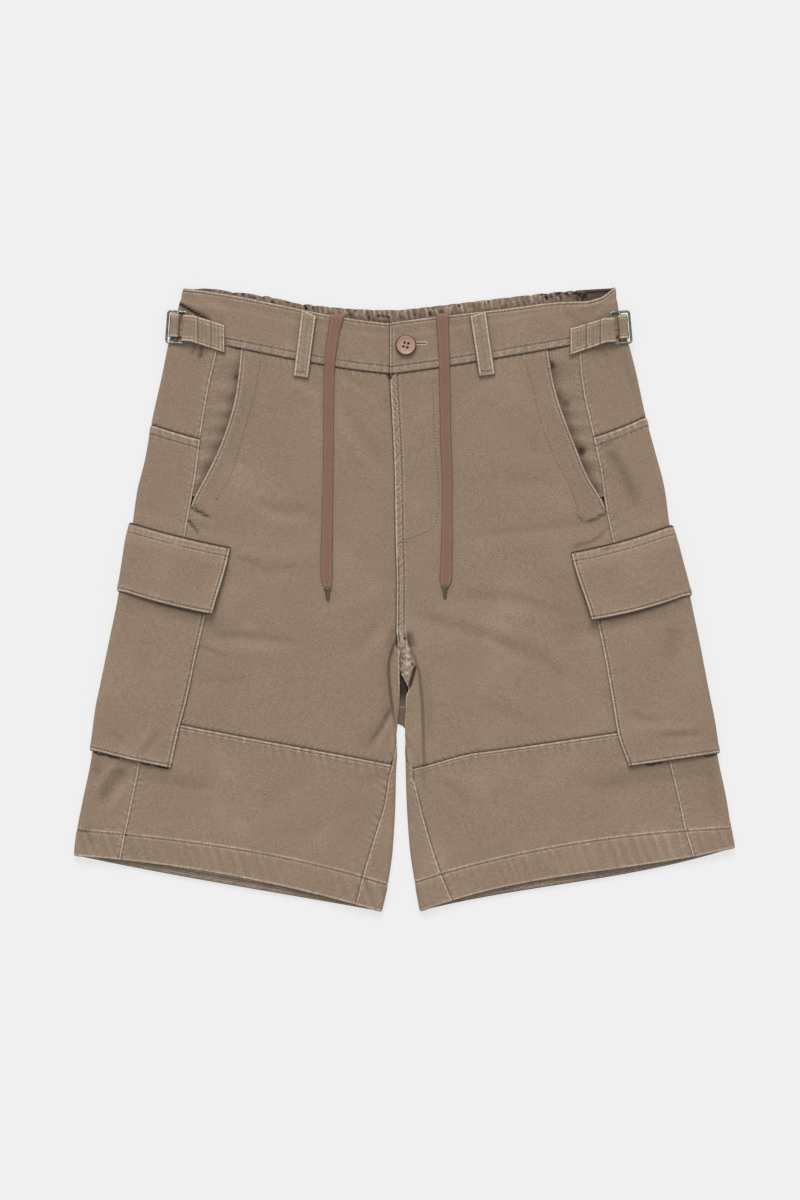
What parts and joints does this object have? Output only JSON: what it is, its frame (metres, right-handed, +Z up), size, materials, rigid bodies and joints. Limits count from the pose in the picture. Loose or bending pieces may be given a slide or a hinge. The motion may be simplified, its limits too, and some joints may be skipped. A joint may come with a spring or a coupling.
{
  "type": "cargo shorts",
  "caption": "Cotton cargo shorts laid flat, front upward, with flap pockets round the sides, side adjuster tabs, a gathered back waistband and drawcord ends.",
  "frame": {"origin": "middle of the bounding box, on the surface that the shorts lie on", "axes": "+X to the right as seen from above, +Y from the hems to the waistband, +Z up from the surface, through the front"},
  "size_m": [0.5793, 0.5464, 0.0146],
  "materials": {
    "cotton": "garment-washed twill, matt",
    "cord": "flat woven cotton cord",
    "metal": "dull antique grey",
    "button": "satin resin"
  },
  "bodies": {
    "root": {"back_left": "cotton", "back_right": "cotton", "bellows_left": "cotton", "bellows_right": "cotton", "belt_loop_left": "cotton", "belt_loop_right": "cotton", "cargo_pocket_left": "cotton", "cargo_pocket_right": "cotton", "flap_left": "cotton", "flap_right": "cotton", "front_left": "cotton", "front_right": "cotton", "hem_left": "cotton", "hem_right": "cotton", "lower_front_left": "cotton", "lower_front_right": "cotton", "pocket_facing_left": "cotton", "pocket_facing_right": "cotton", "strap_left": "cotton", "strap_right": "cotton", "tab_left": "cotton", "tab_right": "cotton", "waistband_back": "cotton", "waistband_left": "cotton", "waistband_right": "cotton", "yoke_left": "cotton", "yoke_right": "cotton", "drawcord_left": "cord", "drawcord_right": "cord", "aglet_left": "metal", "aglet_right": "metal", "buckle_left": "metal", "buckle_right": "metal", "button": "button"}
  },
  "joints": []
}
